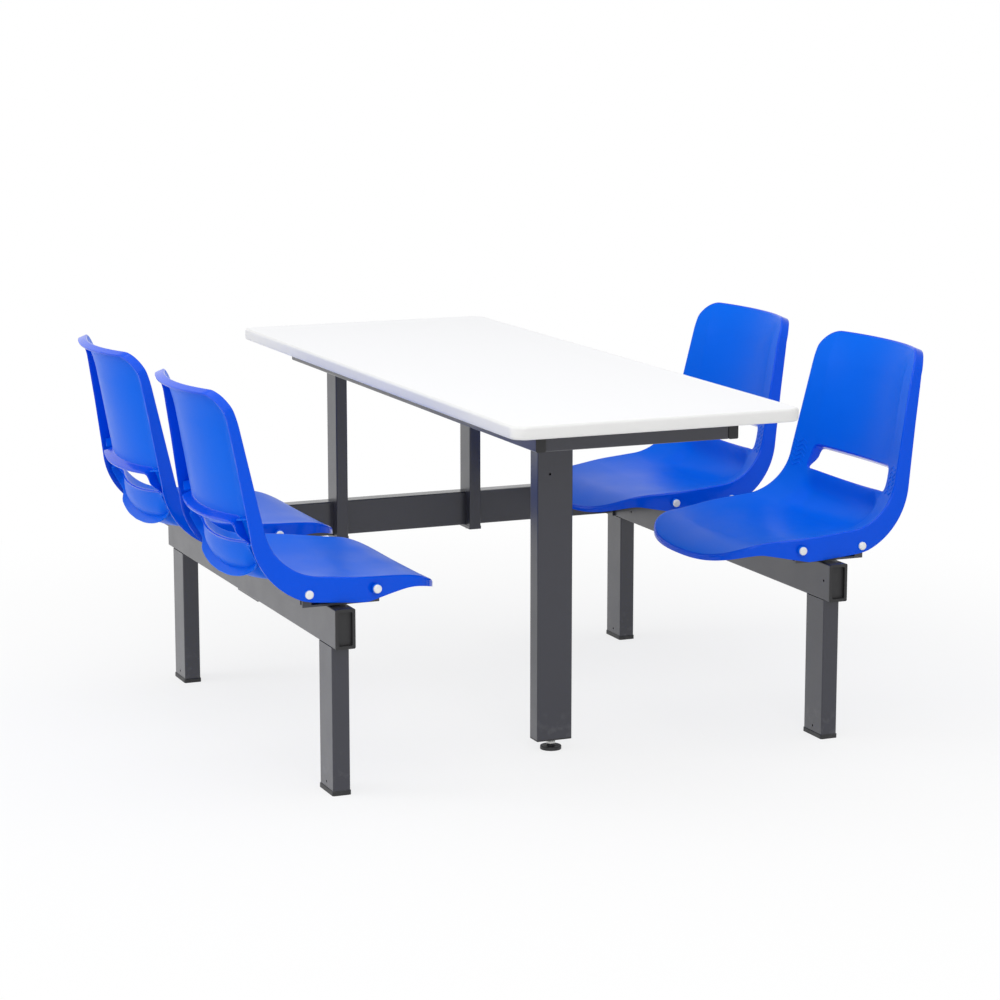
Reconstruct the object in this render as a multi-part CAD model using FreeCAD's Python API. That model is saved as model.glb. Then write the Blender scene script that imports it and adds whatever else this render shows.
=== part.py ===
import FreeCAD, Part
import math
import os

os.makedirs("parts", exist_ok=True)

# Canteen table with four swivel seats. Millimetres, Z up, floor at Z = 0.
# The table runs along Y, open end at -Y, closed end at +Y, benches at -X and +X.

V = FreeCAD.Vector
up = V(0, 0, 1)

# table top
table_length = 1580.0
table_width = 592.0
table_height = 735.0
board_thickness = 25.0
laminate_thickness = 0.8
band_thickness = 3.0
board_corner_radius = 30.0
board_edge_radius = 5.0

# underframe of rectangular tube on edge
frame_end_inset = 100.5
frame_side_inset = 86.0
rail_width = 20.0
rail_height = 42.0
rail_wall = 1.5
rail_plug_flange = 2.0
rail_screw_count = 4
rail_screw_setback = 67.5
screw_shank = 5.0
screw_head = 10.0
screw_head_height = 2.5
screw_bite = 14.0
driver_hole = 12.0

# front leg and its levelling foot
leg_x = -28.0
leg_setback = 317.5
leg_width = 76.0
leg_depth = 39.0
leg_wall = 2.0
leg_foot_gap = 21.5
leg_plate_margin = 26.0
plate_thickness = 5.0
leg_hole_diameter = 5.0
leg_hole_drop = 145.0
leg_hole_offset = 12.0
insert_flange = 3.0
insert_depth = 26.0
foot_diameter = 43.0
foot_base_height = 7.0
foot_neck_diameter = 16.0
foot_neck_height = 5.0
foot_rim_radius = 1.5
stem_diameter = 10.0
stem_pitch = 1.5
stem_reach = 42.0
stem_ball_diameter = 9.0
stem_hex = 17.0
stem_hex_height = 4.0

# benches
bench_standoff = 231.8
beam_width = 40.0
beam_height = 77.0
beam_bottom = 289.5
beam_wall = 3.0
beam_near_overhang = 252.8
beam_far_overhang = 263.8
beam_plug_flange = 3.0
beam_plug_depth = 14.0
plug_frame = 6.0
plug_recess = 7.0
tube_corner_radius = 3.0
post_width = 35.0
post_depth = 74.0
post_wall = 2.0
post_near_inset = 22.0
post_far_inset = 33.0
cap_height = 9.0
cap_overhang = 1.5
cap_insert = 16.0
side_hole_diameter = 5.0
side_hole_height = 20.0
beam_hole_diameter = 5.5
beam_hole_inset = 11.0
beam_hole_rise = 40.5
fixing_hole_offset = 55.0
fixing_hole_rise = 24.5
mid_plate_length = 128.0
mid_plate_width = 34.0
mid_plate_thickness = 3.5

# closed end
cross_depth = 38.0
cross_wall = 3.0
end_plate_wing = 34.0
bolt_diameter = 8.0
bolt_hex = 13.0
bolt_head_height = 5.3
bolt_spread = 42.0
rivet_nut_diameter = 11.0
rivet_nut_length = 16.0
upright_side_gap = 15.5
upright_width = 27.0
upright_depth = 60.0
upright_wall = 2.0
upright_lap = 25.0
upright_plate_margin = 18.0
clamp_thickness = 7.0
clamp_side_lap = 1.0

# seat placing and swivel
seat_centre_y = 11.0
seat_spacing = 570.4
swivel_range = 30.0
pivot_diameter = 20.0
pivot_thread = 16.0
pivot_nut_hex = 24.0
pivot_nut_height = 13.0
pivot_washer_diameter = 40.0
pivot_washer_thickness = 3.0
thrust_washer_diameter = 38.0
thrust_washer_thickness = 2.0
bush_diameter = 30.0
bush_flange_diameter = 44.0
bush_flange_thickness = 3.0
stop_radius = 90.0
stop_pin_diameter = 8.0
stop_pin_stand = 12.0

# seat bracket
bracket_centre_u = 3.7
bracket_depth = 154.0
bracket_gauge = 4.0
ear_width = 18.0
ear_corner = 10.0
stiffener_height = 14.0
seat_bolt_spacing = 136.0
seat_bolt_drop = 15.0
seat_bolt_diameter = 6.0
seat_bolt_head = 11.0
seat_bolt_head_height = 3.3
seat_nut_hex = 10.0
seat_nut_height = 5.0
white_cap_diameter = 16.5
white_cap_height = 5.2
boss_diameter = 20.0
boss_inset = 10.0
boss_stand = 1.5

# seat shell: centre profile from the front lip to the top of the back
shell_wall = 4.0
lip_reach = 232.5
pan_rise = 38.35
lip_radius = 147.0
lip_angle = 42.0
pan_angle = 5.2
pan_length = 193.0
bend_radius = 113.0
back_angle = 78.4
back_length = 197.0
top_radius = 283.0
top_angle = 60.0
rim_radius = 6.0
pan_front_half = 205.0
pan_half = 229.0
waist_half = 222.5
top_half = 196.0
lip_corner_along = 80.0
lip_corner_across = 95.0
top_corner_along = 60.0
top_corner_across = 95.0
lip_dish = 1.0
front_dish = 7.0
pan_dish = 12.0
pan_dish_run = 90.0
rear_dish = 25.0
bend_dish = 43.0
bend_dish_run = 70.0
waist_dish = 42.0
back_dish = 41.0
top_dish = 38.0
wing_rise_low = 19.0
wing_rise_high = 10.0
panel_half_width = 156.0
bowl_power = 2.6
lip_skirt = 8.0
front_skirt = 25.0
pan_skirt = 50.0
waist_skirt = 31.0
top_skirt = 20.0
pan_flare = 2.0
back_flare = 2.0

# lumbar slot through the back
slot_centre_along = 1.0
slot_height = 54.0
slot_half_low = 166.0
slot_half_high = 157.0
slot_corner_radius = 16.0
slot_tilt = 18.0
slot_lip = 23.0

# working allowances of the shell's solids
skin_overrun = 12.0
slot_front_reach = 60.0
slot_rear_reach = 110.0
section_spacing = 34.0
face_steps = 8

# clearances
fit_gap = 0.05
run_gap = 0.15
stop_gap = 0.3

# derived levels and places
board_bottom = table_height - board_thickness
frame_length = table_length - 2 * frame_end_inset
frame_width = table_width - 2 * frame_side_inset
bench_spacing = table_width + 2 * bench_standoff
beam_x = bench_spacing / 2
beam_top = beam_bottom + beam_height
inner_gap = bench_spacing - beam_width
seat_rows = [seat_centre_y - seat_spacing / 2, seat_centre_y + seat_spacing / 2]
beam_near_end = seat_rows[0] - beam_near_overhang
beam_far_end = seat_rows[1] + beam_far_overhang
post_near_y = beam_near_end + post_near_inset
post_far_y = beam_far_end - post_far_inset
cross_front = beam_far_end - cross_depth
upright_front = cross_front - upright_lap
upright_spacing = frame_width - 2 * (rail_width + upright_side_gap) - upright_width
leg_front_y = leg_setback - frame_length / 2
leg_centre_y = leg_front_y + leg_depth / 2
bracket_bottom = beam_top + thrust_washer_thickness + run_gap
bracket_top = bracket_bottom + bracket_gauge
bush_top = bracket_top + bush_flange_thickness
pan_height = bracket_top + pan_rise
seat_bolt_height = pan_height - seat_bolt_drop
boss_face = pan_half + pan_flare + boss_stand
bracket_half = pan_half - boss_inset
nodes = {}


# helpers

def box(x0, x1, y0, y1, z0, z1):
    return Part.makeBox(x1 - x0, y1 - y0, z1 - z0, V(x0, y0, z0))


def rod(diameter, z0, z1, x=0.0, y=0.0):
    return Part.makeCylinder(diameter / 2, z1 - z0, V(x, y, z0))


def rod_along(diameter, start, direction, length):
    return Part.makeCylinder(diameter / 2, length, start, direction)


def hex_prism(across_flats, z0, z1, x=0.0, y=0.0):
    r = across_flats / math.sqrt(3)
    points = [V(x + r * math.cos(math.radians(60 * i)), y + r * math.sin(math.radians(60 * i)), z0)
              for i in range(7)]
    return Part.Face(Part.makePolygon(points)).extrude(V(0, 0, z1 - z0))


def edges_along(shape, direction):
    found = []
    for edge in shape.Edges:
        if len(edge.Vertexes) < 2 or not isinstance(edge.Curve, Part.Line):
            continue
        if abs(edge.tangentAt(edge.FirstParameter).dot(direction)) > 0.999:
            found.append(edge)
    return found


def rounded_box(x0, x1, y0, y1, z0, z1, radius, direction=up):
    solid = box(x0, x1, y0, y1, z0, z1)
    return solid.makeFillet(radius, edges_along(solid, direction))


def tube(x0, x1, y0, y1, z0, z1, wall, direction):
    # rectangular hollow section that runs along the direction
    outer = rounded_box(x0, x1, y0, y1, z0, z1, tube_corner_radius, direction)
    dx, dy, dz = [wall * (1 - abs(c)) for c in direction]
    inner = box(x0 + dx, x1 - dx, y0 + dy, y1 - dy, z0 + dz, z1 - dz)
    return outer.cut(inner)


def save(name, shapes):
    solids = []
    for shape in shapes:
        solids.extend(shape.Solids)
    nodes[name] = solids[0] if len(solids) == 1 else Part.makeCompound(solids)


# table top

def table_top():
    half_w = table_width / 2
    half_l = table_length / 2
    blank = rounded_box(-half_w, half_w, -half_l, half_l, board_bottom, table_height, board_corner_radius)
    rims = [e for e in blank.Edges if abs(e.CenterOfMass.z - table_height) < 0.01
            or abs(e.CenterOfMass.z - board_bottom) < 0.01]
    blank = blank.makeFillet(board_edge_radius, rims)
    inside = rounded_box(-half_w + band_thickness, half_w - band_thickness, -half_l + band_thickness,
                         half_l - band_thickness, board_bottom, table_height,
                         board_corner_radius - band_thickness)
    top = box(-half_w, half_w, -half_l, half_l, table_height - laminate_thickness, table_height)
    laminate = blank.common(top)
    body = blank.cut(top)
    core = body.common(inside)
    for x, y in board_screw_places():
        core = core.cut(rod(screw_shank + 2 * fit_gap, board_bottom, board_bottom + screw_bite + fit_gap, x, y))
    save("table_board", [core])
    save("edge_band", [body.cut(inside)])
    save("table_laminate", [laminate])


# underframe

def rail_screw_places():
    # evenly spaced between the plugs, the outer ones set back from the plugs' inner ends
    x = frame_width / 2 - rail_width / 2
    last = frame_length / 2 - rail_plug_flange - rail_width - rail_screw_setback
    pitch = 2 * last / (rail_screw_count - 1)
    return [(side * x, i * pitch - last) for side in (-1, 1) for i in range(rail_screw_count)]


def leg_screw_places():
    dx = leg_width / 2 + leg_plate_margin / 2
    dy = leg_depth / 2 + leg_plate_margin / 2
    return [(leg_x + sx * dx, leg_centre_y + sy * dy) for sx in (-1, 1) for sy in (-1, 1)]


def upright_screw_places():
    y = upright_front + upright_depth / 2
    dy = upright_depth / 2 + upright_plate_margin / 2
    return [(side * upright_spacing / 2, y + sy * dy) for side in (-1, 1) for sy in (-1, 1)]


def board_screw_places():
    return rail_screw_places() + leg_screw_places() + upright_screw_places()


def pan_screw(x, y, seat_z):
    # screw driven up into the board, with its head under the seat face
    head = rod(screw_head, seat_z - screw_head_height, seat_z, x, y)
    head = head.makeFillet(screw_head_height * 0.4, [e for e in head.Edges
                           if isinstance(e.Curve, Part.Circle)
                           and abs(e.CenterOfMass.z - seat_z + screw_head_height) < 0.01])
    recess = hex_prism(screw_head * 0.35, seat_z - screw_head_height, seat_z - screw_head_height * 0.4, x, y)
    return head.cut(recess).fuse(rod(screw_shank, seat_z, board_bottom + screw_bite, x, y)).removeSplitter()


def underframe():
    half_w = frame_width / 2
    half_l = frame_length / 2 - rail_plug_flange
    z0 = board_bottom - rail_height
    plugs = []
    for side, name in ((-1, "rail_left"), (1, "rail_right")):
        x0, x1 = sorted([side * half_w, side * (half_w - rail_width)])
        rail = tube(x0, x1, -half_l, half_l, z0, board_bottom, rail_wall, V(0, 1, 0))
        for x, y in rail_screw_places():
            if x * side > 0:
                rail = rail.cut(rod(driver_hole, z0, z0 + rail_wall, x, y))
                rail = rail.cut(rod(screw_shank + 2 * fit_gap, board_bottom - rail_wall, board_bottom, x, y))
        save(name, [rail])
        for end in (-1, 1):
            y0, y1 = sorted([end * half_l, end * (half_l + rail_plug_flange)])
            flange = rounded_box(x0, x1, y0, y1, z0, board_bottom, tube_corner_radius, V(0, 1, 0))
            y0, y1 = sorted([end * half_l, end * (half_l - rail_width)])
            m = rail_wall + fit_gap
            plugs.append(flange.fuse(box(x0 + m, x1 - m, y0, y1, z0 + m, board_bottom - m)).removeSplitter())
    save("rail_plugs", plugs)
    inner = half_w - rail_width
    for end, name in ((-1, "near_bar"), (1, "far_bar")):
        y0, y1 = sorted([end * half_l, end * (half_l - rail_width)])
        save(name, [tube(-inner, inner, y0, y1, z0, board_bottom, rail_wall, V(1, 0, 0))])
    save("rail_screws", [pan_screw(x, y, board_bottom - rail_wall) for x, y in rail_screw_places()])


# front leg

def front_leg():
    x0 = leg_x - leg_width / 2
    x1 = leg_x + leg_width / 2
    y0 = leg_front_y
    y1 = leg_front_y + leg_depth
    top = board_bottom - plate_thickness
    flange_bottom = leg_foot_gap
    tube_bottom = leg_foot_gap + insert_flange
    leg = tube(x0, x1, y0, y1, tube_bottom, top, leg_wall, up)
    leg = leg.cut(rod_along(leg_hole_diameter, V(leg_x - leg_hole_offset, y0 - 1, board_bottom - leg_hole_drop),
                            V(0, 1, 0), leg_wall + 2))
    save("front_leg", [leg])
    m = leg_plate_margin
    plate = rounded_box(x0 - m, x1 + m, y0 - m, y1 + m, top, board_bottom, 6.0)
    for x, y in leg_screw_places():
        plate = plate.cut(rod(screw_shank + 2 * fit_gap, top, board_bottom, x, y))
    save("leg_top_plate", [plate])
    save("leg_plate_screws", [pan_screw(x, y, top) for x, y in leg_screw_places()])
    w = leg_wall + fit_gap
    insert = rounded_box(x0, x1, y0, y1, flange_bottom, tube_bottom, tube_corner_radius)
    block = box(x0 + w, x1 - w, y0 + w, y1 - w, tube_bottom, tube_bottom + insert_depth)
    insert = insert.fuse(block).removeSplitter()
    bore = rod(stem_diameter + 2 * fit_gap, flange_bottom, tube_bottom + insert_depth, leg_x, leg_centre_y)
    save("leg_insert", [insert.cut(bore)])


def levelling_foot():
    x = leg_x
    y = leg_centre_y
    base = rod(foot_diameter, 0, foot_base_height, x, y)
    rim = [e for e in base.Edges if isinstance(e.Curve, Part.Circle)
           and abs(e.CenterOfMass.z - foot_base_height) < 0.01]
    base = base.makeFillet(foot_rim_radius, rim)
    neck_top = foot_base_height + foot_neck_height
    base = base.fuse(rod(foot_neck_diameter, foot_base_height, neck_top, x, y)).removeSplitter()
    socket_bottom = foot_base_height * 0.4
    base = base.cut(rod(stem_ball_diameter + 2 * run_gap, socket_bottom, neck_top, x, y))
    save("foot_base", [base])
    toe = rod(stem_ball_diameter, socket_bottom + run_gap, neck_top + run_gap, x, y)
    hex_bottom = neck_top + run_gap
    collar = hex_prism(stem_hex, hex_bottom, hex_bottom + stem_hex_height, x, y)
    stem = rod(stem_diameter, hex_bottom + stem_hex_height, hex_bottom + stem_hex_height + stem_reach, x, y)
    save("foot_stem", [toe.fuse(collar).fuse(stem).removeSplitter()])


# benches

def framed_plug(length_axis, x0, x1, z0, z1, y_face, y_tube):
    # end plug with a recessed pocket: flange from the tube end to the face, body inside the tube
    lo, hi = sorted([y_face, y_tube])
    flange = rounded_box(x0, x1, lo, hi, z0, z1, tube_corner_radius, length_axis)
    inward = 1 if y_tube > y_face else -1
    m = beam_wall + fit_gap
    lo, hi = sorted([y_tube, y_tube + inward * beam_plug_depth])
    body = box(x0 + m, x1 - m, lo, hi, z0 + m, z1 - m)
    lo, hi = sorted([y_face, y_face + inward * plug_recess])
    f = plug_frame
    pocket = rounded_box(x0 + f, x1 - f, lo, hi, z0 + f, z1 - f, f / 2, length_axis)
    return flange.fuse(body).removeSplitter().cut(pocket)


def beam_node(side):
    x0 = side * beam_x - beam_width / 2
    x1 = side * beam_x + beam_width / 2
    y0 = beam_near_end + beam_plug_flange
    y1 = beam_far_end - beam_plug_flange
    beam = tube(x0, x1, y0, y1, beam_bottom, beam_top, beam_wall, V(0, 1, 0))
    for row in seat_rows:
        beam = beam.cut(rod(pivot_diameter + 2 * fit_gap, beam_top - beam_wall, beam_top, side * beam_x, row))
        pin_y = row - side * stop_radius
        beam = beam.cut(rod(stop_pin_diameter + 2 * fit_gap, beam_top - beam_wall, beam_top,
                            side * beam_x, pin_y))
    inner_face = side * (beam_x - beam_width / 2)
    for y, z in ((beam_near_end + beam_hole_inset + beam_plug_depth, beam_bottom + beam_hole_rise),
                 (post_far_y - post_depth - fixing_hole_offset, beam_bottom + fixing_hole_rise)):
        start = V(inner_face - side, y, z)
        beam = beam.cut(rod_along(beam_hole_diameter, start, V(side, 0, 0), beam_wall + 1))
    for dz in (-1, 1):
        z = beam_bottom + beam_height / 2 + dz * bolt_spread / 2
        start = V(inner_face - side, end_bolt_y(), z)
        beam = beam.cut(rod_along(rivet_nut_diameter + 2 * fit_gap, start, V(side, 0, 0), beam_wall + 1))
    return beam


def benches():
    plugs = []
    caps = []
    plates = []
    for side, name in ((-1, "left"), (1, "right")):
        save("bench_beam_" + name, [beam_node(side)])
        x0 = side * beam_x - beam_width / 2
        x1 = side * beam_x + beam_width / 2
        for face, end in ((beam_near_end, beam_near_end + beam_plug_flange),
                          (beam_far_end, beam_far_end - beam_plug_flange)):
            plugs.append(framed_plug(V(0, 1, 0), x0, x1, beam_bottom, beam_top, face, end))
        for y0, place in ((post_near_y, "near"), (post_far_y - post_depth, "far")):
            post = tube(x0, x0 + post_width, y0, y0 + post_depth, cap_height, beam_bottom, post_wall, up)
            start = V(x0 - 1, y0 + post_depth / 2, side_hole_height)
            post = post.cut(rod_along(side_hole_diameter, start, V(1, 0, 0), post_wall + 2))
            save("post_" + place + "_" + name, [post])
            caps.append(foot_cap(x0, y0))
        mid_x = side * beam_x
        plates.append(box(mid_x - mid_plate_width / 2, mid_x + mid_plate_width / 2,
                          seat_centre_y - mid_plate_length / 2, seat_centre_y + mid_plate_length / 2,
                          beam_bottom - mid_plate_thickness, beam_bottom))
    save("beam_plugs", plugs)
    save("foot_caps", caps)
    save("mid_plates", plates)


def foot_cap(x0, y0):
    c = cap_overhang
    x1 = x0 + post_width
    y1 = y0 + post_depth
    flange = rounded_box(x0 - c, x1 + c, y0 - c, y1 + c, 0, cap_height, tube_corner_radius + c)
    rim = [e for e in flange.Edges if abs(e.CenterOfMass.z - cap_height) < 0.01]
    flange = flange.makeChamfer(c * 0.6, rim)
    w = post_wall + fit_gap
    block = box(x0 + w, x1 - w, y0 + w, y1 - w, cap_height, cap_height + cap_insert)
    hollow = box(x0 + 2 * w, x1 - 2 * w, y0 + 2 * w, y1 - 2 * w, cap_height / 2, cap_height + cap_insert)
    access = rod_along(side_hole_diameter + 1, V(x0, (y0 + y1) / 2, side_hole_height), V(1, 0, 0), 3 * w)
    return flange.fuse(block).removeSplitter().cut(hollow).cut(access)


# closed end

def end_bolt_y():
    return cross_front - end_plate_wing / 2


def bolt_along(start, direction, head_length, shank_length):
    # hexagon head outside the start plane, shank beyond it
    head = hex_prism(bolt_hex, -head_length, 0)
    shank = Part.makeCylinder(bolt_diameter / 2, shank_length)
    bolt = head.fuse(shank).removeSplitter()
    bolt.Placement = FreeCAD.Placement(start, FreeCAD.Rotation(up, direction))
    return bolt


def cross_beam():
    half = inner_gap / 2 - plate_thickness
    beam = tube(-half, half, cross_front, cross_front + cross_depth, beam_bottom, beam_top,
                cross_wall, V(1, 0, 0))
    plates = []
    bolts = []
    nuts = []
    for side in (-1, 1):
        x0, x1 = sorted([side * half, side * (half + plate_thickness)])
        plate = rounded_box(x0, x1, cross_front - end_plate_wing, cross_front + cross_depth,
                            beam_bottom, beam_top, 2.0, V(1, 0, 0))
        for dz in (-1, 1):
            z = beam_bottom + beam_height / 2 + dz * bolt_spread / 2
            start = V(side * (half - 1), end_bolt_y(), z)
            plate = plate.cut(rod_along(bolt_diameter + 2 * run_gap, start, V(side, 0, 0), plate_thickness + 2))
            face = V(side * half, end_bolt_y(), z)
            bolts.append(bolt_along(face, V(side, 0, 0), bolt_head_height,
                                    plate_thickness + rivet_nut_length - 1))
            sleeve_start = V(side * (half + plate_thickness), end_bolt_y(), z)
            sleeve = rod_along(rivet_nut_diameter, sleeve_start, V(side, 0, 0), rivet_nut_length)
            bore = rod_along(bolt_diameter + 2 * fit_gap, sleeve_start, V(side, 0, 0), rivet_nut_length)
            nuts.append(sleeve.cut(bore))
        plates.append(plate)
    for x in upright_places():
        y = clamp_screw_y()
        beam = beam.cut(rod(rivet_nut_diameter + 2 * fit_gap, beam_bottom, beam_bottom + cross_wall, x, y))
    save("cross_beam", [beam])
    save("cross_beam_end_plates", plates)
    save("cross_beam_bolts", bolts)
    save("cross_beam_rivet_nuts", nuts + clamp_nuts())


def upright_places():
    return [-upright_spacing / 2, upright_spacing / 2]


def clamp_screw_y():
    return cross_front + (upright_depth - upright_lap) / 2


def clamp_nuts():
    nuts = []
    for x in upright_places():
        sleeve = rod(rivet_nut_diameter, beam_bottom, beam_bottom + rivet_nut_length, x, clamp_screw_y())
        bore = rod(bolt_diameter + 2 * fit_gap, beam_bottom, beam_bottom + rivet_nut_length, x, clamp_screw_y())
        nuts.append(sleeve.cut(bore))
    return nuts


def uprights():
    top = board_bottom - plate_thickness
    y0 = upright_front
    y1 = upright_front + upright_depth
    plates = []
    clamps = []
    screws = []
    half = upright_width / 2
    for x, name in zip(upright_places(), ("left", "right")):
        post = tube(x - half, x + half, y0, y1, beam_bottom, top, upright_wall, up)
        notch = box(x - half, x + half, cross_front, y1, beam_bottom, beam_top)
        save("upright_" + name, [post.cut(notch)])
        m = upright_plate_margin
        plate = rounded_box(x - half - 4, x + half + 4, y0 - m, y1 + m, top, board_bottom, 5.0)
        for sx, sy in upright_screw_places():
            if abs(sx - x) < 1:
                plate = plate.cut(rod(screw_shank + 2 * fit_gap, top, board_bottom, sx, sy))
        plates.append(plate)
        c = clamp_side_lap
        clamp = rounded_box(x - half - c, x + half + c, y0, y1, beam_bottom - clamp_thickness, beam_bottom, 2.0)
        hole = rod(bolt_diameter + 2 * run_gap, beam_bottom - clamp_thickness, beam_bottom, x, clamp_screw_y())
        clamps.append(clamp.cut(hole))
        face = V(x, clamp_screw_y(), beam_bottom - clamp_thickness)
        screws.append(bolt_along(face, up, bolt_head_height, clamp_thickness + rivet_nut_length - 1))
    save("upright_top_plates", plates)
    save("upright_plate_screws", [pan_screw(x, y, top) for x, y in upright_screw_places()])
    save("clamp_plates", clamps)
    save("clamp_screws", screws)


# swivel: pieces that stay on the beams

def swivel_places():
    return [(side, side * beam_x, row) for side in (-1, 1) for row in seat_rows]


def swivel_hardware():
    studs = []
    washers = []
    nuts = []
    pins = []
    shoulder = bush_top + run_gap
    nut_bottom = shoulder + pivot_washer_thickness
    nut_top = nut_bottom + pivot_nut_height
    for side, x, y in swivel_places():
        stud = rod(pivot_diameter, beam_top - beam_wall, shoulder, x, y)
        studs.append(stud.fuse(rod(pivot_thread, shoulder, nut_top + 3, x, y)).removeSplitter())
        pad = rod(thrust_washer_diameter, beam_top, beam_top + thrust_washer_thickness, x, y)
        washers.append(pad.cut(rod(pivot_diameter + 2 * run_gap, beam_top, bracket_bottom, x, y)))
        bore = rod(pivot_thread + 2 * fit_gap, shoulder, nut_top, x, y)
        washer = rod(pivot_washer_diameter, shoulder, nut_bottom, x, y)
        nuts.append(washer.cut(bore))
        nuts.append(hex_prism(pivot_nut_hex, nut_bottom, nut_top, x, y).cut(bore))
        pins.append(rod(stop_pin_diameter, beam_top - beam_wall, beam_top + stop_pin_stand,
                        x, y - side * stop_radius))
    save("pivot_studs", studs)
    save("thrust_washers", washers)
    save("pivot_nuts", nuts)
    save("stop_pins", pins)


# seat pieces, drawn facing +X with the pivot on the Z axis

def seat_bolt_places():
    return [(bracket_centre_u + su * seat_bolt_spacing / 2, sv) for su in (-1, 1) for sv in (-1, 1)]


def stop_slot():
    # curved slot about the pivot, as long as the swivel range lets the pin travel
    r = stop_radius
    half = stop_pin_diameter / 2 + stop_gap
    ring = rod(2 * (r + half), bracket_bottom, bracket_top).cut(rod(2 * (r - half), bracket_bottom, bracket_top))
    reach = 2 * r
    a = math.radians(swivel_range)
    wedge = [V(0, 0, bracket_bottom), V(-reach * math.sin(a), reach * math.cos(a), bracket_bottom),
             V(reach * math.sin(a), reach * math.cos(a), bracket_bottom), V(0, 0, bracket_bottom)]
    sector = Part.Face(Part.makePolygon(wedge)).extrude(V(0, 0, bracket_gauge))
    slot = ring.common(sector)
    for s in (-1, 1):
        slot = slot.fuse(rod(2 * half, bracket_bottom, bracket_top, s * r * math.sin(a), r * math.cos(a)))
    return slot


def seat_bracket():
    u0 = bracket_centre_u - bracket_depth / 2
    u1 = bracket_centre_u + bracket_depth / 2
    g = bracket_gauge
    h = bracket_half
    plate = rounded_box(u0, u1, -h, h, bracket_bottom, bracket_top, 3.0)
    ears = []
    for u, sv in seat_bolt_places():
        y0, y1 = sorted([sv * h, sv * (h - g)])
        ear_top = seat_bolt_height + ear_width / 2 - ear_corner / 2
        ears.append(rounded_box(u - ear_width / 2, u + ear_width / 2, y0, y1, bracket_bottom, ear_top,
                                ear_corner / 2, V(0, 1, 0)))
        ears.append(box(u - ear_width / 2, u + ear_width / 2, y0, y1, bracket_bottom, bracket_top + g))
    body = plate
    for ear in ears:
        body = body.fuse(ear)
    for x0 in (u0, u1 - g):
        body = body.fuse(box(x0, x0 + g, -h + 3 * g, h - 3 * g, bracket_bottom, bracket_top + stiffener_height))
    body = body.removeSplitter()
    body = body.cut(rod(bush_diameter + 2 * fit_gap, bracket_bottom, bracket_top))
    body = body.cut(stop_slot())
    for u, sv in seat_bolt_places():
        start = V(u, sv * (h - 2 * g), seat_bolt_height)
        body = body.cut(rod_along(seat_bolt_diameter + 2 * run_gap, start, V(0, sv, 0), 3 * g))
    return body


def pivot_bush():
    bush = rod(bush_diameter, bracket_bottom, bracket_top).fuse(rod(bush_flange_diameter, bracket_top, bush_top))
    bore = rod(pivot_diameter + 2 * fit_gap, bracket_bottom, bush_top)
    return bush.removeSplitter().cut(bore)


def seat_fixings():
    screws = []
    caps = []
    for u, sv in seat_bolt_places():
        place = FreeCAD.Placement(V(u, sv * boss_face, seat_bolt_height), FreeCAD.Rotation(up, V(0, sv, 0)))
        grip = boss_face - bracket_half + bracket_gauge
        head = Part.makeCylinder(seat_bolt_head / 2, seat_bolt_head_height)
        shank = Part.makeCylinder(seat_bolt_diameter / 2, grip + seat_nut_height + 2,
                                  V(0, 0, -grip - seat_nut_height - 2))
        screw = head.fuse(shank).removeSplitter()
        nut = hex_prism(seat_nut_hex, -grip - seat_nut_height, -grip)
        nut = nut.cut(Part.makeCylinder(seat_bolt_diameter / 2 + fit_gap, seat_nut_height,
                                        V(0, 0, -grip - seat_nut_height)))
        cap = Part.makeCylinder(white_cap_diameter / 2, white_cap_height)
        rim = [e for e in cap.Edges if isinstance(e.Curve, Part.Circle)
               and abs(e.CenterOfMass.z - white_cap_height) < 0.01]
        cap = cap.makeFillet(white_cap_height * 0.5, rim)
        cap = cap.cut(Part.makeCylinder(seat_bolt_head / 2 + run_gap, seat_bolt_head_height + run_gap))
        for shape, group in ((screw, screws), (nut, screws), (cap, caps)):
            shape.Placement = place
            group.append(shape)
    return screws, caps


# seat shell

def blend(a, b, t):
    t = min(max(t, 0.0), 1.0)
    t = t * t * (3 - 2 * t)
    return a + (b - a) * t


def profile_pieces():
    # length and heading change of each piece, from the front lip to the top edge
    return [(lip_radius * math.radians(lip_angle - pan_angle), lip_angle, pan_angle),
            (pan_length, pan_angle, pan_angle),
            (bend_radius * math.radians(back_angle - pan_angle), pan_angle, back_angle),
            (back_length, back_angle, back_angle),
            (top_radius * math.radians(back_angle - top_angle), back_angle, top_angle)]


def profile_marks():
    marks = [0.0]
    for length, start, end in profile_pieces():
        marks.append(marks[-1] + length)
    return marks


def profile_frame(d):
    # point on the centre profile at distance d from the lip, and its normal toward the sitter
    u = lip_reach
    lip_rise = lip_radius * (math.cos(math.radians(pan_angle)) - math.cos(math.radians(lip_angle)))
    z = pan_height - lip_rise
    left = d
    pieces = profile_pieces()
    for k, (length, start, end) in enumerate(pieces):
        last = k == len(pieces) - 1
        run = left if last or left < length else length
        a0 = math.radians(start)
        a1 = math.radians(start + (end - start) * run / length)
        if abs(a1 - a0) < 1e-9:
            u -= run * math.cos(a0)
            z += run * math.sin(a0)
        else:
            r = run / (a1 - a0)
            u -= r * (math.sin(a1) - math.sin(a0))
            z += r * (math.cos(a0) - math.cos(a1))
        left -= run
        if left <= 0:
            break
    return V(u, 0, z), V(math.sin(a1), 0, math.cos(a1))


def corner_loss(distance, along, across, inset):
    # how much a rounded corner narrows the shell at a distance from its end
    along -= inset
    across -= inset
    x = max(distance - inset, 0.0)
    if x >= along:
        return 0.0
    return across * (1 - math.sqrt(max(1 - ((along - x) / along) ** 2, 0.0)))


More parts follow.
